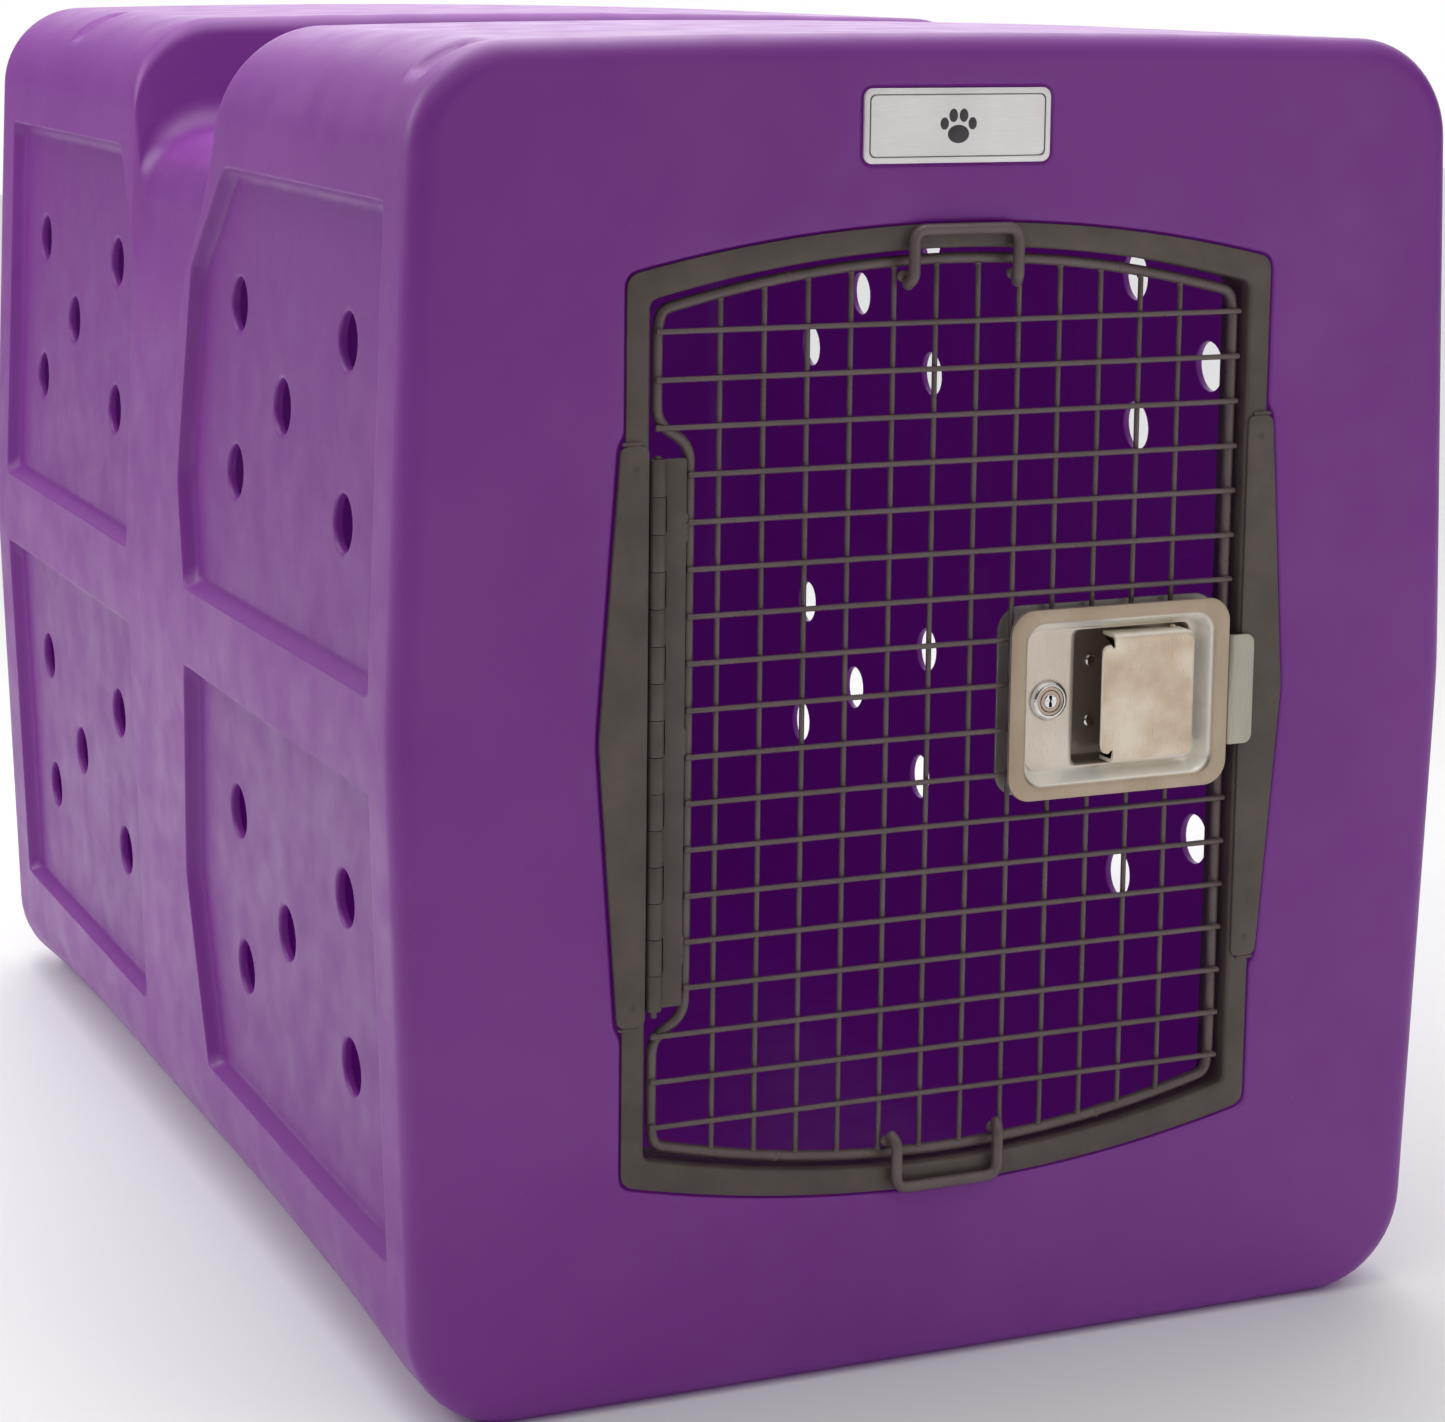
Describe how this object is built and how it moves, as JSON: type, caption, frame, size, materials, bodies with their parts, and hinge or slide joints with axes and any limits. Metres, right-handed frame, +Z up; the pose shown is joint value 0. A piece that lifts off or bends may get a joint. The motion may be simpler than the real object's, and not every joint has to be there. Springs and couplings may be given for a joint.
{
  "type": "pet transport carrier",
  "caption": "Moulded plastic pet carrier: a vented body with two roof humps and a framed, hinged wire door with a keyed paddle latch.",
  "frame": {"origin": "middle of the footprint on the floor", "axes": "+Z up, -Y out of the door, +X to the right of someone facing the door"},
  "size_m": [0.648, 0.9946, 0.743],
  "materials": {
    "shell_plastic": "satin purple polyethylene with a fine moulded texture",
    "coated_steel": "satin taupe powder coat",
    "stainless": "brushed stainless",
    "lock_chrome": "polished",
    "spring_steel": "bright wire",
    "badge_metal": "brushed, with a dark engraved border"
  },
  "bodies": {
    "carrier": {"shell": "shell_plastic", "door_frame": "coated_steel", "hinge_cheek": "coated_steel", "strike_cheek": "coated_steel", "hinge_frame_leaf": "coated_steel", "hinge_pin": "coated_steel", "badge_plate": "badge_metal"},
    "door": {"door_rim": "coated_steel", "hinge_door_leaf": "coated_steel", "latch_backing": "stainless", "latch_pan": "stainless", "lock_cylinder": "lock_chrome", "paddle_pin": "stainless", "paddle_spring": "spring_steel", "pan_rivet_lower": "stainless", "pan_rivet_upper": "stainless", "stop_loop_bottom": "coated_steel", "stop_loop_top": "coated_steel", "stop_tab": "coated_steel", "wire_col_01": "coated_steel", "wire_col_02": "coated_steel", "wire_col_03": "coated_steel", "wire_col_04": "coated_steel", "wire_col_05": "coated_steel", "wire_col_06": "coated_steel", "wire_col_07": "coated_steel", "wire_col_08": "coated_steel", "wire_col_09_high": "coated_steel", "wire_col_09_low": "coated_steel", "wire_col_10_high": "coated_steel", "wire_col_10_low": "coated_steel", "wire_col_11_high": "coated_steel", "wire_col_11_low": "coated_steel", "wire_col_12_high": "coated_steel", "wire_col_12_low": "coated_steel", "wire_row_01": "coated_steel", "wire_row_02": "coated_steel", "wire_row_03": "coated_steel", "wire_row_04": "coated_steel", "wire_row_05": "coated_steel", "wire_row_06": "coated_steel", "wire_row_07": "coated_steel", "wire_row_08": "coated_steel", "wire_row_09": "coated_steel", "wire_row_10": "coated_steel", "wire_row_11": "coated_steel", "wire_row_12": "coated_steel", "wire_row_13": "coated_steel", "wire_row_14": "coated_steel", "wire_row_15": "coated_steel", "wire_row_16": "coated_steel", "wire_row_17": "coated_steel", "wire_row_18": "coated_steel"},
    "paddle": {"latch_paddle": "stainless"},
    "bolt": {"latch_bolt": "stainless"},
    "lock": {"lock_plug": "lock_chrome", "lock_cam": "stainless"}
  },
  "joints": [
    {"name": "door_swing", "type": "hinge", "parent": "carrier", "child": "door", "pos_m": [-0.1766, -0.48814, 0.3724], "axis": [0, 0, -1], "range_deg": [0, 160]},
    {"name": "paddle_turn", "type": "hinge", "parent": "door", "child": "paddle", "pos_m": [0.1415, -0.48324, 0.3734], "axis": [0, 0, 1], "range_deg": [0, 32], "stiffness_Nm_per_rad": 0.6, "springref_deg": -22.92},
    {"name": "bolt_slide", "type": "slide", "parent": "door", "child": "bolt", "axis": [1, 0, 0], "range_m": [-0.0172, 0]},
    {"name": "lock_turn", "type": "hinge", "parent": "door", "child": "lock", "pos_m": [0.0635, -0.46974, 0.3734], "axis": [0, -1, 0], "range_deg": [0, 90]}
  ],
  "couplings": [
    {"joint": "bolt_slide", "follows": "paddle_turn", "m_per_rad": -0.03044}
  ]
}
